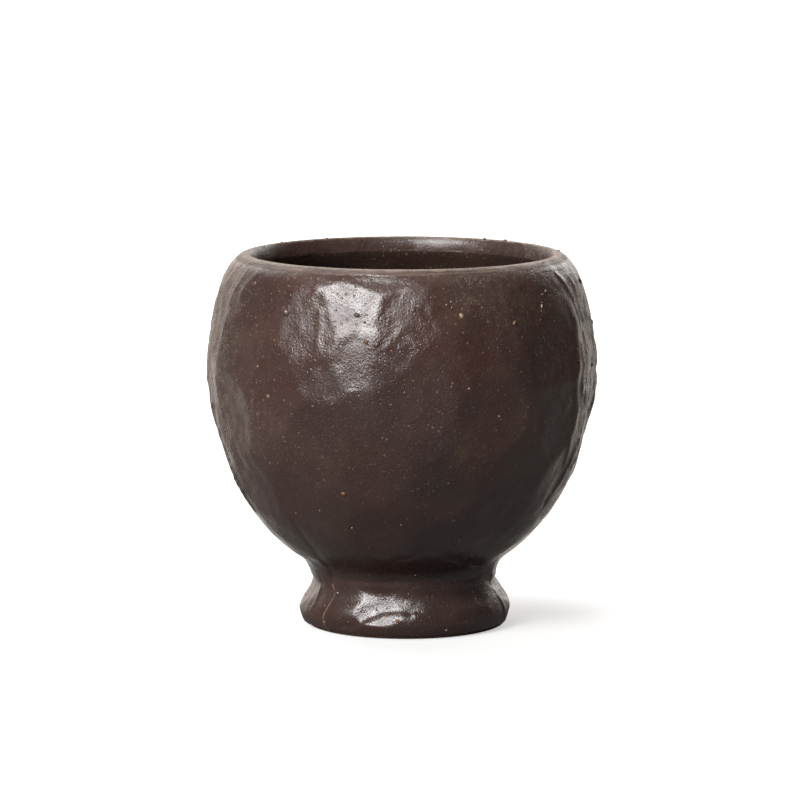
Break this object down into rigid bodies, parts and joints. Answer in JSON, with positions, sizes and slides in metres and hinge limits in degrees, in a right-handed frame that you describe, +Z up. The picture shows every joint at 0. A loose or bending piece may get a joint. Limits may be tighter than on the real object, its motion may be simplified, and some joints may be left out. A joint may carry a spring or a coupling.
{
  "type": "coffee cup",
  "caption": "Handleless hand-formed stoneware coffee cup: round beaten bowl with a drawn-in mouth on a flared hollow foot ring, dark brown glaze inside and out.",
  "frame": {"origin": "centre of the bowl's outline on the table, at the height of the foot's standing face", "axes": "+Z up the axis of the bowl, -Y towards the viewer in the picture, +X to the viewer's right; the foot's seam is at the front left"},
  "size_m": [0.09, 0.09, 0.0865],
  "materials": {
    "bowl_clay": "unglazed fired stoneware, fine grog",
    "ring_clay": "unglazed fired stoneware, fine grog",
    "seam_slip": "fired slip, matt",
    "joint_slip": "fired slip, wiped, matt",
    "inner_glaze": "satin gloss iron glaze",
    "brown_glaze": "satin gloss iron glaze, pitted, with grog specks"
  },
  "bodies": {
    "root": {"bowl": "bowl_clay", "foot_ring": "ring_clay", "foot_seam": "seam_slip", "luting_slip": "joint_slip", "liner_glaze": "inner_glaze", "outer_glaze": "brown_glaze"}
  },
  "joints": []
}
